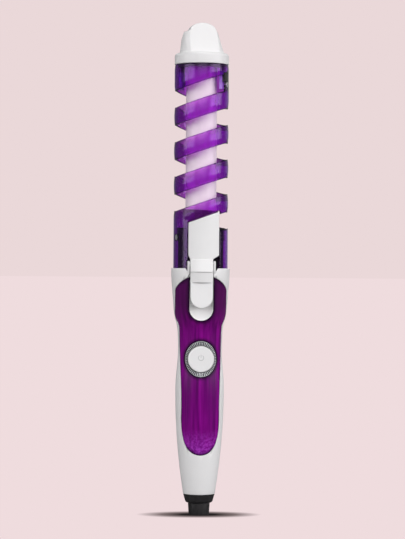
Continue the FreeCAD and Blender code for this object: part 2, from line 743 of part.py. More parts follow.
def tilted_tile(high, low, thick):
    """A curved plate whose front runs from high down to low, both (y, z)."""
    top = V(0, high[0] + LEVER_SECTION_R, high[1])
    end = V(0, low[0] + LEVER_SECTION_R, low[1])
    along = end - top
    unit = V(along).normalize()
    spare = 6.0
    outer = Part.makeCylinder(LEVER_SECTION_R, along.Length + 2 * spare, top - unit * spare,
                              unit)
    inner = outer.translated(V(0, thick, 0))
    return outer.cut(inner).common(
        box(-NECK_HALF, NECK_HALF, -REACH, LEVER_BACK_Y, low[1], high[1]))


def lever():
    """White lever: curved paddle, kinked neck and thumb tab, with two pin lugs."""
    neck_z, side_z = PADDLE_SHOULDER_Z
    outline = [(-NECK_HALF, PADDLE_FOOT_Z), (-NECK_HALF, neck_z), (PADDLE_LEFT, side_z),
               (PADDLE_LEFT, PADDLE_TOP_LEFT_Z), (PADDLE_RIGHT, PADDLE_TOP_RIGHT_Z),
               (PADDLE_RIGHT, side_z), (NECK_HALF, neck_z), (NECK_HALF, PADDLE_FOOT_Z)]
    body = ring(PADDLE_OUT_R, PADDLE_IN_R, PADDLE_FOOT_Z - 1, PADDLE_TOP_RIGHT_Z + 1).common(
        prism_y(outline, -REACH, 0))
    knee = (KNEE_Y, KNEE_Z)
    body = body.fuse([
        tilted_tile((-PADDLE_OUT_R, NECK_TOP_Z), knee, NECK_THICK),
        tilted_tile(knee, (BLOCK_Y, BLOCK_Z), BLOCK_THICK),
    ])

    low_z = TAB_TIP_Z - 0.3
    tab = prism_x([(TAB_TOP_Y[0], TAB_TOP_Z), (TAB_TIP_Y[0], low_z), (TAB_TIP_Y[1], low_z),
                   (TAB_TOP_Y[1], TAB_TOP_Z)], -NECK_HALF, NECK_HALF)
    tab_end = u_prism(TAB_HALF, TAB_TIP_Z + TAB_HALF, TAB_TOP_Z, -REACH, 0)
    body = body.fuse(tab.common(tab_end))

    for side in (1, -1):
        x0, x1 = sorted((side * LUG_X0, side * NECK_HALF))
        body = body.fuse([
            box(x0, x1, LUG_FRONT_Y, HINGE_Y, HINGE_Z - LUG_R, HINGE_Z + LUG_R),
            cyl_x(LUG_R, x0, x1, HINGE_Y, HINGE_Z),
        ])
    spring_room = LUG_X0 - GAP
    return body.cut([
        cyl_x(2.15, -spring_room, spring_room, HINGE_Y, HINGE_Z),
        cyl_x(PIN_R + 0.06, -EAR_X1, EAR_X1, HINGE_Y, HINGE_Z),
    ]).removeSplitter()


def clamp_pad():
    """Black pad under the paddle that presses the hair's end against the sleeve."""
    return ring(PADDLE_IN_R, PAD_IN_R, PAD_Z0, PAD_Z1).common(
        box(-PAD_HALF, PAD_HALF, -REACH, 0, PAD_Z0, PAD_Z1))


def lever_pin():
    return cyl_x(PIN_R, -EAR_X1, EAR_X1, HINGE_Y, HINGE_Z)


def lever_spring():
    """Torsion spring round the pin: one leg on the paddle, one on the pocket's floor."""
    x = SPRING_HALF_X
    body = coil(SPRING_R, SPRING_WIRE_R, 2 * x, SPRING_TURNS, V(-x, HINGE_Y, HINGE_Z),
                V(1, 0, 0))
    up_leg = wire_run([(x, HINGE_Y, HINGE_Z + SPRING_R), (x, SPRING_LEG_Y, HINGE_Z + 5),
                       (x, SPRING_LEG_Y, HINGE_Z + 10)], SPRING_WIRE_R)
    down_leg = cyl(SPRING_WIRE_R, HINGE_Z - 10, HINGE_Z, -x, HINGE_Y + SPRING_R)
    return Part.makeCompound([body, up_leg, down_leg])


# ---- Button and switch ---------------------------------------------------------------

def power_button():
    """Flat white push button: a cup with a centre post and two retaining tabs."""
    body = cyl_y(BUTTON_R, BUTTON_FACE_Y, BUTTON_SKIRT_Y, 0, BUTTON_Z)
    face_edges = [e for e in body.Edges if abs(e.BoundBox.YMax - BUTTON_FACE_Y) < 0.01]
    body = body.makeFillet(0.5, face_edges)
    inside_y = BUTTON_FACE_Y + BUTTON_TOP
    body = body.cut(cyl_y(BUTTON_R - BUTTON_WALL, inside_y, 0, 0, BUTTON_Z))
    body = body.fuse(cyl_y(BUTTON_POST_R, inside_y - GAP, PLUNGER_Y0, 0, BUTTON_Z))
    for side in (1, -1):
        z0, z1 = sorted((BUTTON_Z + side * BUTTON_TAB_Z[0], BUTTON_Z + side * BUTTON_TAB_Z[1]))
        body = body.fuse(box(-2.5, 2.5, BUTTON_TAB_Y[0], BUTTON_TAB_Y[1], z0, z1))
    return body.removeSplitter()


def button_spring():
    start = V(0, SWITCH_TOP_Y - RETURN_SPRING_WIRE_R - 0.03, BUTTON_Z)
    return coil(RETURN_SPRING_R, RETURN_SPRING_WIRE_R, RETURN_SPRING_LEN, 5, start, V(0, -1, 0))


def switch_plunger():
    return cyl_y(PLUNGER_R, PLUNGER_Y0, PLUNGER_Y1, 0, BUTTON_Z)


def switch_body():
    body = box(-SWITCH_HALF, SWITCH_HALF, SWITCH_TOP_Y, BOARD_Y0, BUTTON_Z - SWITCH_HALF,
               BUTTON_Z + SWITCH_HALF)
    well_y = PLUNGER_Y1 + BUTTON_TRAVEL + 0.2
    return body.cut(cyl_y(PLUNGER_R + 0.06, SWITCH_TOP_Y - 1, well_y, 0, BUTTON_Z))


def power_led():
    z = BUTTON_Z + LED_RISE
    return cyl_y(LED_R, LED_TIP_Y, BOARD_Y0, 0, z).fuse(Part.makeSphere(LED_R, V(0, LED_TIP_Y, z)))


# ---- Control board -------------------------------------------------------------------

def control_board():
    body = box(-BOARD_HALF_X, BOARD_HALF_X, BOARD_Y0, BOARD_Y1, BOARD_Z0, BOARD_Z1)
    return body.cut([cyl_y(BOARD_SCREW_R + 0.15, BOARD_Y0 - 1, BOARD_Y1 + 1, 0, z)
                     for z in BOARD_SCREW_Z])


def board_screws():
    return Part.makeCompound([
        screw(1.9, 1.2, BOARD_SCREW_R, BOARD_SCREW_LEN, V(0, BOARD_Y1, z), V(0, -1, 0))
        for z in BOARD_SCREW_Z
    ])


def film_capacitor():
    z0 = BOARD_Z0 + 8
    return box(-6.5, 6.5, BOARD_Y1, BOARD_Y1 + 5.6, z0, z0 + 10)


def triac():
    z0 = BOARD_Z0 + 22
    tab = box(-5, 5, BOARD_Y1, BOARD_Y1 + 1.2, z0, z0 + 15)
    return tab.fuse(box(-5, 5, BOARD_Y1, BOARD_Y1 + 4.2, z0, z0 + 9)).removeSplitter()


def dropper_resistor():
    r = 1.7
    return cyl_x(r, -5.5, 5.5, BOARD_Y0 - r, BOARD_Z0 + 16)


# ---- Cord outlet ---------------------------------------------------------------------

def swivel_collar():
    """Black bush, clamped by the shells, in which the cord outlet turns."""
    top_z = HANDLE_Z0 - FIT
    inner_low = V(BUSH_IN_R, 0, BUSH_Z0)
    inner_top = V(BUSH_IN_R, 0, top_z)
    rim = V(BUSH_TOP_R, 0, top_z)
    edge = [V(r, 0, z) for r, z in BUSH_EDGE]
    body = turned([
        line(inner_low, edge[0]),
        Part.Arc(*edge).toShape(),
        line(edge[-1], rim),
        line(rim, inner_top),
        line(inner_top, inner_low),
    ])
    end_z = STEM_HEAD_Z0 - GAP
    return body.fuse([
        ring(BUSH_NECK_R, BUSH_IN_R, HANDLE_Z0 - 1, end_z),
        ring(BUSH_HEAD_R, BUSH_IN_R, HANDLE_Z0 + HANDLE_FLOOR + GAP, end_z),
    ]).removeSplitter()


def swivel_stem():
    """Black outlet: a tapered stub below the bush, a neck through it and a head above."""
    body = lathe([
        (CORD_BORE_R, 0), (STEM_R0, 0), (STEM_R1, STEM_Z1), (STEM_NECK_R, STEM_Z1),
        (STEM_NECK_R, STEM_HEAD_Z0), (STEM_HEAD_R, STEM_HEAD_Z0), (STEM_HEAD_R, STEM_HEAD_Z1),
        (0, STEM_HEAD_Z1), (0, CORD_BORE_DEPTH), (CORD_BORE_R, CORD_BORE_DEPTH),
    ])
    low = CORD_BORE_DEPTH - 1
    high = STEM_HEAD_Z1 + 1
    return body.cut([cyl(TAIL_R, low, high), cyl(TAIL_R, low, high, TAIL_X, 0)])


def slip_rings():
    """A centre contact and a ring contact on the outlet's head, each with its tail."""
    head_z = STEM_HEAD_Z1
    pin = cyl(SLIP_PIN_R, head_z, SLIP_PIN_Z1).fuse(cyl(TAIL_R, CORD_BORE_DEPTH, head_z))
    track = ring(SLIP_TRACK_R[1], SLIP_TRACK_R[0], head_z, SLIP_TRACK_Z1)
    bridge = box(TAIL_X - 0.4, SLIP_TRACK_R[0] + 0.5, -TAIL_R, TAIL_R, head_z, head_z + 0.5)
    tail = cyl(TAIL_R, CORD_BORE_DEPTH, head_z + 0.2, TAIL_X, 0)
    return Part.makeCompound([pin, track.fuse([bridge, tail])])


def contact_carrier():
    body = cyl(CARRIER_R, CARRIER_Z0, CARRIER_Z1)
    return body.cut([cyl(BRUSH_R, CARRIER_Z0 - 1, CARRIER_Z1 + 1),
                     cyl(BRUSH_R, CARRIER_Z0 - 1, CARRIER_Z1 + 1, BRUSH_X, 0)])


def brush_contacts():
    touch = 0.06
    centre = cyl(BRUSH_R, SLIP_PIN_Z1 + touch, BRUSH_TOP_Z)
    side = cyl(BRUSH_R, SLIP_TRACK_Z1 + touch, BRUSH_TOP_Z, BRUSH_X, 0)
    return Part.makeCompound([centre, side])


def mains_wires():
    """Two wires from the brushes up to the board's lower end."""
    board_y = BOARD_Y1 + MAINS_WIRE_R
    wires = []
    for x0, side in ((0.0, -1), (BRUSH_X, 1)):
        x = side * MAINS_WIRE_X
        wires.append(wire_run([
            (x0, 0, BRUSH_TOP_Z), (x0, 0, BRUSH_TOP_Z + 1.1), (x, 0, BRUSH_TOP_Z + 4),
            (x, 0, BOARD_Z0 - 4), (x, board_y, BOARD_Z0 + 1), (x, board_y, BOARD_Z0 + 6),
        ], MAINS_WIRE_R))
    return Part.makeCompound(wires)


NODES = {
    "tip_cap": tip_cap,
    "tip_collar": tip_collar,
    "tip_screw": tip_screw,
    "spiral_guard": spiral_guard,
    "guard_screws": guard_screws,
    "barrel": barrel,
    "base_collar": base_collar,
    "heater_shell_front": lambda: heater_shell(-1),
    "heater_shell_rear": lambda: heater_shell(1),
    "heater_elements": heater_elements,
    "heater_electrodes": heater_electrodes,
    "heater_insulation": heater_insulation,
    "thermal_fuse": thermal_fuse,
    "heater_wires": heater_wires,
    "front_shell": front_shell,
    "rear_shell": rear_shell,
    "handle_cover": handle_cover,
    "button_ring": button_ring,
    "handle_screws": handle_screws,
    "lever": lever,
    "clamp_pad": clamp_pad,
    "lever_pin": lever_pin,
    "lever_spring": lever_spring,
    "power_button": power_button,
    "button_spring": button_spring,
    "switch_plunger": switch_plunger,
    "switch_body": switch_body,
    "power_led": power_led,
    "control_board": control_board,
    "board_screws": board_screws,
    "film_capacitor": film_capacitor,
    "triac": triac,
    "dropper_resistor": dropper_resistor,
    "swivel_collar": swivel_collar,
    "swivel_stem": swivel_stem,
    "slip_rings": slip_rings,
    "contact_carrier": contact_carrier,
    "brush_contacts": brush_contacts,
    "mains_wires": mains_wires,
}

os.makedirs("parts", exist_ok=True)
for name, make in NODES.items():
    shape = make()
    shape.exportStep("parts/" + name + ".step")
    print(name, "solids", len(shape.Solids), "valid", shape.isValid(),
          "volume", round(shape.Volume, 1))
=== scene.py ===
# The looks of the spiral hair curler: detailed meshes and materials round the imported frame.
import bmesh
import bpy
import json
import math
import numpy as np
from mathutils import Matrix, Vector
from mathutils.bvhtree import BVHTree
from mathutils.kdtree import KDTree


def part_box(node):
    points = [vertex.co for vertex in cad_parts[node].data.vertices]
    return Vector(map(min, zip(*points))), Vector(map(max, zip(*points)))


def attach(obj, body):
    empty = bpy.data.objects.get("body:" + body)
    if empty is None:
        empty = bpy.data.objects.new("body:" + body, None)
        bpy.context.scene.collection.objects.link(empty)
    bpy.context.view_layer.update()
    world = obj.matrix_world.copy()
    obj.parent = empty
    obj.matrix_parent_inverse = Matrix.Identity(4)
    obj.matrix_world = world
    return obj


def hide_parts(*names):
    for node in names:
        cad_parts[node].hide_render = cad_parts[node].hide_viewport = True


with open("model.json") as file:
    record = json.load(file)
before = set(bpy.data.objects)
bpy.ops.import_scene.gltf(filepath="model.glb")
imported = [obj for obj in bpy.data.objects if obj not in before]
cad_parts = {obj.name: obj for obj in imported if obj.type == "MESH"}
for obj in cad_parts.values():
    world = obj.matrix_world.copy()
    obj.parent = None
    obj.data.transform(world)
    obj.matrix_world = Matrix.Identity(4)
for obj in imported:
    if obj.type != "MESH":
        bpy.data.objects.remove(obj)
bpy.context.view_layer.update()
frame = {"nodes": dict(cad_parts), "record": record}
MM = 0.001
WELD = 0.001 * MM
SLEEVE_HEIGHT = 11.5 * MM
FLANGE_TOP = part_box("base_collar")[1][2] - SLEEVE_HEIGHT


# ---- Node material helpers -----------------------------------------------------------

class Look:
    """A Principled material whose maps are built from procedural nodes."""

    def __init__(self, name, base, rough, **fixed):
        self.mat = bpy.data.materials.new(name)
        self.mat.use_nodes = True
        self.nodes = self.mat.node_tree.nodes
        self.links = self.mat.node_tree.links
        self.shader = self.nodes["Principled BSDF"]
        self.shader.inputs["Base Color"].default_value = (*base, 1)
        self.shader.inputs["Roughness"].default_value = rough
        for socket, value in fixed.items():
            self.shader.inputs[socket.replace("_", " ")].default_value = value

    def node(self, kind, **values):
        made = self.nodes.new(kind)
        for key, value in values.items():
            if key in made.inputs:
                made.inputs[key].default_value = value
            else:
                setattr(made, key, value)
        return made

    def place(self, stretch=(1, 1, 1)):
        """Object space, stretched along its axes."""
        source = self.node("ShaderNodeTexCoord")
        size = self.node("ShaderNodeMapping", Scale=stretch)
        self.links.new(source.outputs["Object"], size.inputs["Vector"])
        return size.outputs["Vector"]

    def noise(self, scale, detail=3.0, stretch=(1, 1, 1)):
        """Noise in object space. scale is in features per metre."""
        grain = self.node("ShaderNodeTexNoise", Scale=scale, Detail=detail)
        self.links.new(self.place(stretch), grain.inputs["Vector"])
        return grain.outputs["Fac"]

    def height(self):
        """Height above the floor, in metres."""
        split = self.node("ShaderNodeSeparateXYZ")
        self.links.new(self.place(), split.inputs["Vector"])
        return split.outputs["Z"]

    def inside(self, low, high):
        """1 within the box from low to high, 0 outside it."""
        middle = self.node("ShaderNodeVectorMath", operation="SUBTRACT")
        self.links.new(self.place(), middle.inputs[0])
        middle.inputs[1].default_value = [(a + b) / 2 for a, b in zip(low, high)]
        share = self.node("ShaderNodeVectorMath", operation="DIVIDE")
        self.links.new(middle.outputs["Vector"], share.inputs[0])
        share.inputs[1].default_value = [(b - a) / 2 for a, b in zip(low, high)]
        size = self.node("ShaderNodeVectorMath", operation="ABSOLUTE")
        self.links.new(share.outputs["Vector"], size.inputs[0])
        split = self.node("ShaderNodeSeparateXYZ")
        self.links.new(size.outputs["Vector"], split.inputs["Vector"])
        most = split.outputs["X"]
        for axis in ("Y", "Z"):
            larger = self.node("ShaderNodeMath", operation="MAXIMUM")
            self.links.new(most, larger.inputs[0])
            self.links.new(split.outputs[axis], larger.inputs[1])
            most = larger.outputs["Value"]
        return self.range(most, 0.98, 1.0, 1.0, 0.0)

    def ramp(self, value, stops):
        """A colour ramp over value. stops are (position, (r, g, b))."""
        ramp = self.node("ShaderNodeValToRGB")
        points = ramp.color_ramp.elements
        while len(points) < len(stops):
            points.new(0.5)
        for point, (place, colour) in zip(points, stops):
            point.position = place
            point.color = (*colour, 1)
        self.links.new(value, ramp.inputs["Fac"])
        return ramp.outputs["Color"]

    def range(self, value, low, high, to_low, to_high):
        scaled = self.node("ShaderNodeMapRange")
        for socket, number in (("From Min", low), ("From Max", high), ("To Min", to_low),
                               ("To Max", to_high)):
            scaled.inputs[socket].default_value = number
        self.links.new(value, scaled.inputs["Value"])
        return scaled.outputs["Result"]

    def mix(self, factor, first, second):
        """Colour between two, each a socket or a constant (r, g, b)."""
        blend = self.node("ShaderNodeMix", data_type="RGBA")
        self.links.new(factor, blend.inputs["Factor"])
        for place, colour in ((6, first), (7, second)):
            if isinstance(colour, tuple):
                blend.inputs[place].default_value = (*colour, 1)
            else:
                self.links.new(colour, blend.inputs[place])
        return blend.outputs[2]

    def colour(self, socket):
        self.links.new(socket, self.shader.inputs["Base Color"])
        return self

    def roughness(self, socket):
        self.links.new(socket, self.shader.inputs["Roughness"])
        return self

    def bump(self, height, distance, strength=1.0):
        bump = self.node("ShaderNodeBump", Strength=strength, Distance=distance)
        self.links.new(height, bump.inputs["Height"])
        self.links.new(bump.outputs["Normal"], self.shader.inputs["Normal"])
        return self


def tint(colour, factor):
    return tuple(min(1.0, c * factor) for c in colour)


def mottled(name, base, rough, spread=0.04, scale=180, bump=0.00002, grain=2500,
            stretch=(1, 1, 1), **fixed):
    """Plastic or metal with slight blotches in colour and gloss and a fine surface grain."""
    look = Look(name, base, rough, **fixed)
    blotch = look.noise(scale, 4.0, stretch)
    look.colour(look.ramp(blotch, [(0.3, tint(base, 1 - spread)), (0.7, tint(base, 1 + spread))]))
    fine = look.noise(grain, 2.0, stretch)
    look.roughness(look.range(fine, 0.3, 0.7, rough * 0.85, rough * 1.15))
    look.bump(fine, bump)
    return look


WHITE_BASE = (0.77, 0.77, 0.77)
WHITE = mottled("white_abs", WHITE_BASE, 0.42, 0.012, 60, 0.000006, 3500)
MARK = mottled("power_mark", (0.52, 0.53, 0.53), 0.5, 0.02, 60, 0.000006, 3500)
BLACK = mottled("black_pps", (0.008, 0.008, 0.009), 0.5, 0.25, 300, 0.00003, 2600)
OUTLET = mottled("black_rubber", (0.011, 0.010, 0.011), 0.55, 0.45, 500, 0.00004, 2600,
                 (1, 1, 0.15), Specular_IOR_Level=0.3)
STEEL = mottled("zinc_steel", (0.72, 0.71, 0.73), 0.25, 0.06, 900, 0.00001, 4000, Metallic=1.0)
SPRING = mottled("spring_wire", (0.42, 0.42, 0.44), 0.3, 0.08, 700, 0.00001, 4000,
                 Metallic=1.0)
ALUMINIUM = mottled("extruded_aluminium", (0.70, 0.70, 0.72), 0.35, 0.05, 300, 0.00001, 3000,
                    (1, 1, 0.05), Metallic=1.0)
SILVER = mottled("plated_trim", (0.62, 0.64, 0.65), 0.32, 0.08, 600, 0.00001, 3000,
                 Metallic=0.8)
BRASS = mottled("contact_brass", (0.62, 0.43, 0.16), 0.3, 0.08, 500, 0.00001, 3000,
                Metallic=1.0)
TILE = mottled("heating_tile", (0.10, 0.09, 0.085), 0.7, 0.15, 900, 0.00003, 3000)
FILM = mottled("insulating_film", (0.55, 0.26, 0.03), 0.3, 0.08, 300, 0.00001, 2000)
LAMINATE = mottled("board_laminate", (0.02, 0.13, 0.05), 0.35, 0.12, 500, 0.00002, 2500)
CASE = mottled("component_case", (0.05, 0.05, 0.06), 0.5, 0.15, 500, 0.00002, 2500)
WIRE = mottled("wire_insulation", (0.60, 0.57, 0.52), 0.5, 0.05, 400, 0.00002, 2500)
LENS = mottled("led_lens", (0.5, 0.03, 0.02), 0.15, 0.05, 300, 0.00001, 2500,
               Transmission_Weight=0.5)


def barrel_look():
    """Satin ceramic coating with faint drawn lines along the tube."""
    base = (0.90, 0.76, 0.86)
    look = Look("ceramic_coating", base, 0.38)
    drawn = look.noise(500, 3.0, (1, 1, 0.03))
    look.colour(look.ramp(drawn, [(0.3, tint(base, 0.985)), (0.7, tint(base, 1.01))]))
    look.roughness(look.range(drawn, 0.3, 0.7, 0.34, 0.42))
    look.bump(look.noise(4000, 2.0), 0.000006)
    return look


def guard_look():
    """Clear polycarbonate, dyed purple through its thickness, with painted shade along its cut
    edges.
    """
    clear, dark = (0.98, 0.95, 0.98), (0.30, 0.10, 0.42)
    look = Look("clear_purple", clear, 0.05, Transmission_Weight=1.0, IOR=1.45,
                Specular_Tint=(0.80, 0.62, 0.98, 1))
    dye = look.node("ShaderNodeVolumeAbsorption", Density=1110.0)
    dye.inputs["Color"].default_value = (0.785, 0.11, 0.92, 1)
    output = look.nodes["Material Output"]
    look.links.new(dye.outputs["Volume"], output.inputs["Volume"])
    # Painted shade: the cut edges are tinted dark through the edge mask.
    edge = look.node("ShaderNodeAttribute", attribute_name="edge")
    look.colour(look.mix(edge.outputs["Fac"], clear, dark))
    ripple = look.noise(220, 2.0, (1, 1, 0.4))
    look.roughness(look.range(ripple, 0.3, 0.7, 0.02, 0.06))
    look.bump(ripple, 0.00001)
    return look


def cover_look():
    """Glossy purple moulding: streaks along the grip, the lighter ones painted highlights;
    painted shade on its rims and head; painted light at its lower end.
    """
    look = Look("purple_cover", (0.13, 0.002, 0.14), 0.25, Specular_IOR_Level=0.07)
    low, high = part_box("handle_cover")
    head_z = (high[2] - 36 * MM, high[2] - 18 * MM)
    tail_z = (low[2] + 1 * MM, low[2] + 17 * MM)
    # The tone varies along the grip. Its lighter streaks are painted highlights.
    sheen_streak = look.noise(420, 4.0, (1, 1, 0.035))
    body = look.ramp(sheen_streak, [(0.34, (0.095, 0.001, 0.105)), (0.5, (0.150, 0.0015, 0.158)),
                              (0.66, (0.225, 0.003, 0.225))])
    # Painted shade: the cover darkens towards its head.
    shade = look.range(look.height(), *head_z, 0.0, 0.75)
    body = look.mix(shade, body, (0.055, 0.006, 0.055))
    # Painted light: the lower end is brightened with a speckled glow.
    lower_end_light = look.range(look.height(), *tail_z, 0.8, 0.0)
    speckle = look.noise(700, 3.0)
    painted_glow = look.ramp(speckle, [(0.35, (0.16, 0.008, 0.22)), (0.65, (0.45, 0.055, 0.60))])
    body = look.mix(lower_end_light, body, painted_glow)
    rim = look.node("ShaderNodeAttribute", attribute_name="rim")
    # Painted shade: the rim is darkened for the shadow gap round the cover's edges.
    look.colour(look.mix(rim.outputs["Fac"], body, (0.012, 0.002, 0.018)))
    look.bump(look.noise(500, 2.0, (1, 1, 0.2)), 0.00001)
    return look


def front_look():
    """White handle whose thumb pocket floor is brightened with painted light."""
    look = mottled("white_front", WHITE_BASE, 0.42, 0.012, 60, 0.000006, 3500)
    low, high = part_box("lever")
    pocket_y = (-13.4 * MM, -11.0 * MM)
    below_tab, above_tab = 9 * MM, 24 * MM
    left_of_tab, ear = 1 * MM, 3 * MM
    # Painted light: the pocket's floor is lit up against the shade of its walls.
    pocket_light = look.inside((low[0] - left_of_tab, pocket_y[0], low[2] - below_tab),
                         (high[0] - ear, pocket_y[1], low[2] + above_tab))
    plain = look.shader.inputs["Base Color"].links[0].from_socket
    look.colour(look.mix(pocket_light, plain, (0.97, 0.965, 0.96)))
    return look


def ring_look():
    """Plated trim with painted shade in the grooves between its ribs."""
    look = Look("ribbed_trim", (0.62, 0.64, 0.65), 0.35, Metallic=0.6)
    grain = look.noise(600, 4.0)
    plate = look.ramp(grain, [(0.3, (0.50, 0.52, 0.53)), (0.7, (0.66, 0.68, 0.69))])
    groove = look.node("ShaderNodeAttribute", attribute_name="groove")
    # Painted shade in the grooves.
    look.colour(look.mix(groove.outputs["Fac"], plate, (0.015, 0.016, 0.018)))
    return look


def collar_look():
    """Black flange and foot. The sleeve above the flange is a dull mauve: painted shade, the
    barrel coating's tone in shadow.
    """
    look = Look("collar_black", (0.008, 0.008, 0.009), 0.7, Specular_IOR_Level=0.1)
    grain = look.noise(300, 3.0)
    dark = look.ramp(grain, [(0.3, (0.006, 0.006, 0.007)), (0.7, (0.010, 0.010, 0.011))])
    # Painted shade: the sleeve takes the tone of the barrel coating in shadow.
    shaded_mauve = look.ramp(grain, [(0.3, (0.16, 0.10, 0.14)), (0.7, (0.19, 0.12, 0.17))])
    sharp = 0.1 * MM
    upper = look.range(look.height(), FLANGE_TOP, FLANGE_TOP + sharp, 0, 1)
    look.colour(look.mix(upper, dark, shaded_mauve))
    return look


def plug_look():
    """Lilac lugs under the guard. The plug's disc and the lugs' outer pads are black."""
    look = Look("plug_lilac", (0.34, 0.15, 0.68), 0.4)
    split = look.node("ShaderNodeSeparateXYZ")
    look.links.new(look.place(), split.inputs["Vector"])
    flat = look.node("ShaderNodeCombineXYZ")
    look.links.new(split.outputs["X"], flat.inputs["X"])
    look.links.new(split.outputs["Y"], flat.inputs["Y"])
    radius = look.node("ShaderNodeVectorMath", operation="LENGTH")
    look.links.new(flat.outputs["Vector"], radius.inputs[0])
    flange_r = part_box("base_collar")[1][0]
    barrel_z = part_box("barrel")[1][2]
    sharp = 0.02 * MM
    lug_shade_z = (barrel_z - 4 * MM, barrel_z - 2 * MM)
    pad = look.range(radius.outputs["Value"], flange_r + sharp, flange_r + 2 * sharp, 0, 1)
    disc = look.range(split.outputs["Z"], barrel_z, barrel_z + sharp, 0, 1)
    dark = look.node("ShaderNodeMath", operation="MAXIMUM")
    look.links.new(pad, dark.inputs[0])
    look.links.new(disc, dark.inputs[1])
    grain = look.noise(300, 3.0)
    lilac = look.ramp(grain, [(0.3, (0.48, 0.22, 0.86)), (0.7, (0.52, 0.25, 0.90))])
    # Painted shade: the lugs darken towards their top, under the cap.
    above = look.range(split.outputs["Z"], *lug_shade_z, 0, 1)
    lug = look.mix(above, lilac, (0.20, 0.02, 0.24))
    look.colour(look.mix(dark.outputs["Value"], lug, (0.008, 0.008, 0.009)))
    return look


CERAMIC = barrel_look()
GUARD = guard_look()
COVER = cover_look()
RIBBED = ring_look()
PLUG = plug_look()
COLLAR = collar_look()
FRONT = front_look()

NODE_LOOKS = {
    "white_plastic": WHITE, "purple_guard": GUARD, "purple_cover": COVER,
    "barrel_coating": CERAMIC, "black_plastic": BLACK, "silver_trim": SILVER, "steel": STEEL,
    "spring_steel": SPRING, "aluminium": ALUMINIUM, "heating_ceramic": TILE,
    "contact_brass": BRASS, "insulating_film": FILM, "board_laminate": LAMINATE,
    "component_plastic": CASE, "wire_insulation": WIRE, "led_lens": LENS,
}


# ---- Mesh helpers --------------------------------------------------------------------

def shown(name, mesh):
    thing = bpy.data.objects.new(name, mesh)
    bpy.context.scene.collection.objects.link(thing)
    return thing


def bmesh_object(name, build):
    """An object whose mesh is filled in by build(bmesh)."""
    made = bmesh.new()
    build(made)
    mesh = bpy.data.meshes.new(name)
    made.to_mesh(mesh)
    made.free()
    return shown(name, mesh)


def node_copy(name, node):
    """A copy of a CAD node's mesh, in the frame's own space."""
    source = frame["nodes"][node]
    mesh = source.data.copy()
    mesh.transform(source.matrix_world)
    return shown(name, mesh)


def moulded(name, node, cell, rounds):
    """A copy of a CAD node whose edges are rounded, like those of a moulding."""
    thing = node_copy(name, node)
    thing.modifiers.new("weld", "WELD").merge_threshold = WELD
    grid = thing.modifiers.new("grid", "REMESH")
    grid.mode = "VOXEL"
    grid.voxel_size = cell
    grid.use_smooth_shade = True
    relax = thing.modifiers.new("relax", "SMOOTH")
    relax.factor = 0.5
    relax.iterations = rounds
    bpy.context.view_layer.update()
    graph = bpy.context.evaluated_depsgraph_get()
    mesh = bpy.data.meshes.new_from_object(thing.evaluated_get(graph))
    thing.modifiers.clear()
    thing.data = mesh
    return thing


def finish_piece(thing, look, body, slot, *nodes):
    """Dresses a new piece and lets it stand for the CAD nodes."""
    thing.data.materials.clear()
    thing.data.materials.append(look.mat)
    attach(thing, body)
    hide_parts(*nodes)
    return thing


def vertex_arrays(mesh):
    """Places and normals of a mesh's vertices, as arrays."""
    place = np.empty(len(mesh.vertices) * 3)
    normal = np.empty(len(mesh.vertices) * 3)
    mesh.vertices.foreach_get("co", place)
    mesh.vertices.foreach_get("normal", normal)
    return place.reshape(-1, 3), normal.reshape(-1, 3)


def evened(mesh, values):
    """Values at a mesh's vertices, each replaced by its neighbours' mean a few times."""
    passes = 10
    ends = np.empty(len(mesh.edges) * 2, dtype=np.int32)
    mesh.edges.foreach_get("vertices", ends)
    first, second = ends.reshape(-1, 2).T
    count = np.bincount(ends, minlength=len(values))
    for _ in range(passes):
        total = np.bincount(first, values[second], len(values))
        total += np.bincount(second, values[first], len(values))
        values = total / count
    return values


def facing_and_edge_distance(mesh):
    """For each vertex of a shell round the Z axis: its place, its radius, how far its normal
    faces outwards, and its evened distance to the shell's nearest cut edge."""
    place, normal = vertex_arrays(mesh)
    radius = np.hypot(place[:, 0], place[:, 1])
    facing = (normal[:, 0] * place[:, 0] + normal[:, 1] * place[:, 1]) / radius
    wall_facing = 0.5
    walls = np.flatnonzero(np.abs(facing) < wall_facing)
    tree = KDTree(len(walls))
    for index in walls:
        tree.insert(place[index], int(index))
    tree.balance()
    distance = np.array([tree.find(spot)[2] for spot in place])
    return place, radius, facing, evened(mesh, distance)


def mark_near_edge(mesh, name, distance, full, width):
    """A vertex value that is 1 out to full from the nearest cut edge and fades over width."""
    value = np.clip(1 - (distance - full) / width, 0, 1)
    mesh.attributes.new(name, "FLOAT", "POINT").data.foreach_set("value", value)


# ---- Spiral guard, cover and cap -----------------------------------------------------

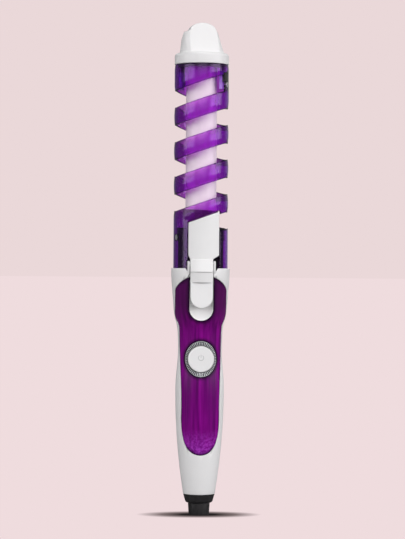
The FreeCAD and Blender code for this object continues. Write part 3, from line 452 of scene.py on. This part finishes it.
def crowned_guard():
    """The guard with rounded edges. Above the flange each turn has a gentle crown."""
    crown = 0.45 * MM
    crown_width = 5.2 * MM
    fade_height = 10 * MM
    edge_full, edge_width = 0.16 * MM, 0.8 * MM
    snap = 0.3 * MM
    facing_share = 0.9
    cad = frame["nodes"]["spiral_guard"]
    cad_place, _ = vertex_arrays(cad.data)
    cad_radius = np.hypot(cad_place[:, 0], cad_place[:, 1])
    outer, inner = cad_radius.max(), cad_radius.min()

    thing = moulded("guard_spiral", "spiral_guard", 0.3 * MM, 2)
    place, radius, facing, distance = facing_and_edge_distance(thing.data)
    out_face = (facing > facing_share) & (abs(radius - outer) < snap)
    in_face = (facing < -facing_share) & (abs(radius - inner) < snap)
    true_radius = np.where(out_face, outer, np.where(in_face, inner, radius))
    above = np.clip((place[:, 2] - FLANGE_TOP) / fade_height, 0, 1)
    drop = crown * above * (1 - np.minimum(distance / crown_width, 1)) ** 2
    depth = np.clip((true_radius - inner) / (outer - inner), 0, 1)
    place[:, :2] *= ((true_radius - drop * depth) / radius)[:, None]
    thing.data.vertices.foreach_set("co", place.ravel())
    thing.data.update()
    # Marks the cut edges for the painted shade along them.
    mark_near_edge(thing.data, "edge", distance, edge_full, edge_width)
    return finish_piece(thing, GUARD, "handle", "purple_guard", "spiral_guard")


def rimmed_cover():
    """The cover with rounded edges, and its rim marked for a dark outline of painted shade."""
    rim_shade_full, rim_shade_width = 0.345 * MM, 2.3 * MM
    thing = moulded("cover_grip", "handle_cover", 0.3 * MM, 3)
    distance = facing_and_edge_distance(thing.data)[3]
    mark_near_edge(thing.data, "rim", distance, rim_shade_full, rim_shade_width)
    return finish_piece(thing, COVER, "handle", "purple_cover", "handle_cover")


def winged_cap():
    """The tip cap with rounded edges. Its left wing stands out further than its right one."""
    wing = 1.7 * MM
    root_x, tip_x = 6.8 * MM, 9.6 * MM
    thing = moulded("cap_tip", "tip_cap", 0.3 * MM, 4)
    place, _ = vertex_arrays(thing.data)
    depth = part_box("tip_cap")[1][2] - place[:, 2]
    # The wing grows from the shoulder up, and ends in a ledge below the grip's round top.
    grown = np.interp(depth, [4.6 * MM, 5.8 * MM, 11.0 * MM, 19.5 * MM], [0, 1, 1, 0])
    outward = np.clip((-place[:, 0] - root_x) / (tip_x - root_x), 0, 1)
    place[:, 0] -= wing * grown * outward
    thing.data.vertices.foreach_set("co", place.ravel())
    thing.data.update()
    return finish_piece(thing, WHITE, "handle", "white_plastic", "tip_cap")


# ---- Button, its ring and its mark ---------------------------------------------------

def ribbed_ring():
    """Trim ring with radial ribs, laid on the surface of the CAD ring."""
    ribs = 56
    columns = ribs * 8
    shade_contrast = 1.3
    groove = 0.45 * MM
    edge = 0.12 * MM
    skirt = 1.1 * MM
    button_gap = 0.35 * MM
    inset = 0.15 * MM
    low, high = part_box("button_ring")
    half_x = (high[0] - low[0]) / 2 - edge / 2
    half_z = (high[2] - low[2]) / 2 - edge / 2
    button_low, button_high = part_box("power_button")
    hole = (button_high[0] - button_low[0]) / 2 + button_gap
    centre_z = (high[2] + low[2]) / 2

    source = node_copy("ring_source", "button_ring")
    source_mesh = source.data
    tree = BVHTree.FromPolygons([v.co for v in source_mesh.vertices],
                                [p.vertices for p in source_mesh.polygons])
    bpy.data.objects.remove(source)

    # Stations across the ring: share of its width, drop below the surface, depth of groove.
    stations = [(0.0, skirt, 0), (0.0, 0.3 * MM, 0.3), (0.05, 0.06 * MM, 0.8), (0.12, 0, 1),
                (0.5, 0, 1), (0.8, 0, 1), (0.9, 0, 0.5), (0.96, 0.06 * MM, 0),
                (1.0, 0.3 * MM, 0), (1.0, skirt, 0)]

    def build(mesh):
        # The groove layer holds how much painted shade each groove gets.
        depth = mesh.verts.layers.float.new("groove")
        rows = []
        for column in range(columns):
            turn = 2 * math.pi * column / columns
            c, s = math.cos(turn), math.sin(turn)
            rim = half_x * half_z / math.hypot(half_z * c, half_x * s)
            wave = 0.5 - 0.5 * math.cos(ribs * turn)
            row = []
            for share, drop, cut in stations:
                r = hole + (rim - hole) * share
                x, z = r * c, r * s
                near = min(max(r, hole + inset), rim - inset)
                hit = tree.ray_cast(Vector((near * c, -1.0, centre_z + near * s)),
                                    Vector((0, 1, 0)))[0]
                vertex = mesh.verts.new((x, hit.y + drop + groove * cut * wave, centre_z + z))
                vertex[depth] = min(1.0, cut * wave * shade_contrast)
                row.append(vertex)
            rows.append(row)
        for row, following in zip(rows, rows[1:] + rows[:1]):
            for k in range(len(row)):
                j = (k + 1) % len(row)
                mesh.faces.new((row[k], row[j], following[j], following[k]))
        bmesh.ops.recalc_face_normals(mesh, faces=mesh.faces)

    thing = bmesh_object("ring_ribbed", build)
    thing.data.shade_smooth()
    return finish_piece(thing, RIBBED, "handle", "silver_trim", "button_ring")


def power_mark():
    """The power sign on the button: an open arc and a bar, standing slightly proud."""
    size = 1.7 * MM
    stroke = 0.22 * MM
    proud = 0.06 * MM
    sunk = 0.2 * MM
    rise = 0.9 * MM
    start, sweep, steps = 125, 290, 36
    low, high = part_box("power_button")
    face_y = low[1]
    centre_x = (low[0] + high[0]) / 2
    centre_z = (low[2] + high[2]) / 2 + rise
    arc = []
    for k in range(steps + 1):
        turn = math.radians(start + sweep * k / steps)
        arc.append((centre_x + size * math.cos(turn), centre_z + size * math.sin(turn)))
    bar = [(centre_x, centre_z + size * share) for share in (0.1, 0.4, 0.8, 1.2)]

    def build(mesh):
        for path in (arc, bar):
            rows = []
            for k, (x, z) in enumerate(path):
                before, after = path[max(k - 1, 0)], path[min(k + 1, len(path) - 1)]
                along = Vector((after[0] - before[0], after[1] - before[1])).normalized()
                side_x, side_z = -along.y * stroke, along.x * stroke
                rows.append([mesh.verts.new((x + sign * side_x, y, z + sign * side_z))
                             for sign, y in ((1, face_y - proud), (-1, face_y - proud),
                                             (-1, face_y + sunk), (1, face_y + sunk))])
            for row, following in zip(rows, rows[1:]):
                for k in range(4):
                    j = (k + 1) % 4
                    mesh.faces.new((row[k], row[j], following[j], following[k]))
            mesh.faces.new(rows[0])
            mesh.faces.new(rows[-1][::-1])
        bmesh.ops.recalc_face_normals(mesh, faces=mesh.faces)

    thing = bmesh_object("button_mark", build)
    thing.data.materials.append(MARK.mat)
    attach(thing, "button")
    return thing


# ---- Pieces kept from the CAD --------------------------------------------------------

def dress_nodes():
    """Every carried-over CAD node takes the look of its material slot."""
    for part in frame["record"]["subparts"]:
        thing = frame["nodes"][part["node"]]
        look = NODE_LOOKS[part["material_slot"]]
        for slot in thing.material_slots:
            slot.material = look.mat
    for name, look in (("swivel_collar", OUTLET), ("swivel_stem", OUTLET), ("tip_collar", PLUG),
                       ("base_collar", COLLAR), ("front_shell", FRONT)):
        for slot in frame["nodes"][name].material_slots:
            slot.material = look.mat


def soften_edges(node, width):
    """Small rounded edges on a CAD node."""
    thing = frame["nodes"][node]
    thing.modifiers.new("weld", "WELD").merge_threshold = WELD
    flat = thing.modifiers.new("flat", "DECIMATE")
    flat.decimate_type = "DISSOLVE"
    flat.angle_limit = math.radians(1)
    edge = thing.modifiers.new("edge", "BEVEL")
    edge.width = width
    edge.segments = 2
    edge.angle_limit = math.radians(35)
    edge.use_clamp_overlap = False


dress_nodes()
crowned_guard()
rimmed_cover()
winged_cap()
finish_piece(moulded("lever_clamp", "lever", 0.26 * MM, 4), WHITE, "lever", "white_plastic",
             "lever")
ribbed_ring()
power_mark()
for node in ("power_button", "swivel_collar", "swivel_stem", "front_shell", "rear_shell"):
    soften_edges(node, 0.3 * MM)


# ---- Studio --------------------------------------------------------------------------

def studio_world():
    """A dim room with soft boxes round the object. The camera sees a pale pink wall."""
    room = 0.20
    world = bpy.data.worlds.new("studio")
    world.use_nodes = True
    nodes = world.node_tree.nodes
    links = world.node_tree.links
    place = nodes.new("ShaderNodeTexCoord")
    total = None
    # Each soft box: direction towards it, cosines where it fades in, and its strength.
    boxes = [((0.0, -1.0, 0.06), 0.88, 0.97, 0.9), ((0.0, -0.82, 0.57), 0.84, 0.966, 1.6),
             ((0.87, -0.48, 0.10), 0.81, 0.966, 4.1), ((-0.84, -0.53, 0.08), 0.84, 0.973, 3.25),
             ((0.0, -0.1, 1.0), 0.70, 0.92, 0.4), ((0.5, 0.86, 0.0), 0.75, 0.97, 0.25)]
    for direction, start, full, strength in boxes:
        towards = nodes.new("ShaderNodeVectorMath")
        towards.operation = "DOT_PRODUCT"
        towards.inputs[1].default_value = Vector(direction).normalized()
        links.new(place.outputs["Generated"], towards.inputs[0])
        fade = nodes.new("ShaderNodeMapRange")
        fade.interpolation_type = "SMOOTHSTEP"
        fade.inputs["From Min"].default_value = start
        fade.inputs["From Max"].default_value = full
        fade.inputs["To Max"].default_value = strength
        links.new(towards.outputs["Value"], fade.inputs["Value"])
        add = nodes.new("ShaderNodeMath")
        if total is None:
            add.inputs[0].default_value = room
        else:
            links.new(total, add.inputs[0])
        links.new(fade.outputs["Result"], add.inputs[1])
        total = add.outputs["Value"]
    light = nodes["Background"]
    light.inputs["Color"].default_value = (1.0, 0.985, 0.995, 1)
    links.new(total, light.inputs["Strength"])
    wall = nodes.new("ShaderNodeBackground")
    wall.inputs["Color"].default_value = (0.823, 0.686, 0.693, 1)
    path = nodes.new("ShaderNodeLightPath")
    pick = nodes.new("ShaderNodeMixShader")
    links.new(path.outputs["Is Camera Ray"], pick.inputs["Fac"])
    links.new(light.outputs["Background"], pick.inputs[1])
    links.new(wall.outputs["Background"], pick.inputs[2])
    links.new(pick.outputs["Shader"], nodes["World Output"].inputs["Surface"])
    bpy.context.scene.world = world


def floor_look():
    """Evenly lit pale pink paper with a painted soft shadow where the outlet stands. Only the
    camera sees the pink, so it doesn't tint the object."""
    grey, none = (0.25, 0.25, 0.25), (0.0, 0.0, 0.0)
    paper = (0.863, 0.716, 0.730)
    look = Look("floor_paper", grey, 0.95, Specular_IOR_Level=0.0, Emission_Strength=1.0)
    # Painted shadow: a dark ellipse round the outlet's foot.
    shadow_x, shadow_y = 41 * MM, 21 * MM
    distance = look.node("ShaderNodeVectorMath", operation="LENGTH")
    look.links.new(look.place((1 / shadow_x, 1 / shadow_y, 0)), distance.inputs[0])
    shadow_patch = look.ramp(distance.outputs["Value"],
                      [(0.0, (0.012, 0.010, 0.010)), (0.28, (0.02, 0.017, 0.017)),
                       (0.6, (0.22, 0.17, 0.17)), (0.82, (0.55, 0.45, 0.46)), (1.0, paper)])
    seen = look.node("ShaderNodeLightPath").outputs["Is Camera Ray"]
    look.colour(look.mix(seen, grey, none))
    look.links.new(look.mix(seen, none, shadow_patch), look.shader.inputs["Emission Color"])
    return look


def studio_stage():
    """A pale pink floor that runs to the horizon."""
    reach = 44.0
    floor = bmesh_object("floor", lambda mesh: bmesh.ops.create_circle(
        mesh, cap_ends=True, radius=reach, segments=96))
    floor.data.materials.append(floor_look().mat)


def studio_camera():
    """A long lens at the object's half height, a little to its left."""
    distance = 1.45
    azimuth = math.radians(-3.0)
    eye_z = 0.15925
    aim_right = 0.00136
    half_height = 0.1752
    roll = math.radians(-0.4)
    camera_data = bpy.data.cameras.new("camera")
    camera_data.sensor_fit = "VERTICAL"
    camera_data.sensor_height = 36.0
    camera_data.lens = camera_data.sensor_height / 2 * distance / half_height
    camera_data.clip_end = 200.0
    camera = bpy.data.objects.new("camera", camera_data)
    right = Vector((math.cos(azimuth), math.sin(azimuth), 0))
    back = Vector((math.sin(azimuth), -math.cos(azimuth), 0))
    camera.location = right * aim_right + back * distance + Vector((0, 0, eye_z))
    camera.rotation_euler = (math.pi / 2, roll, azimuth)
    bpy.context.scene.collection.objects.link(camera)
    bpy.context.scene.camera = camera


studio_world()
studio_stage()
studio_camera()
bpy.context.scene.view_settings.view_transform = "Standard"
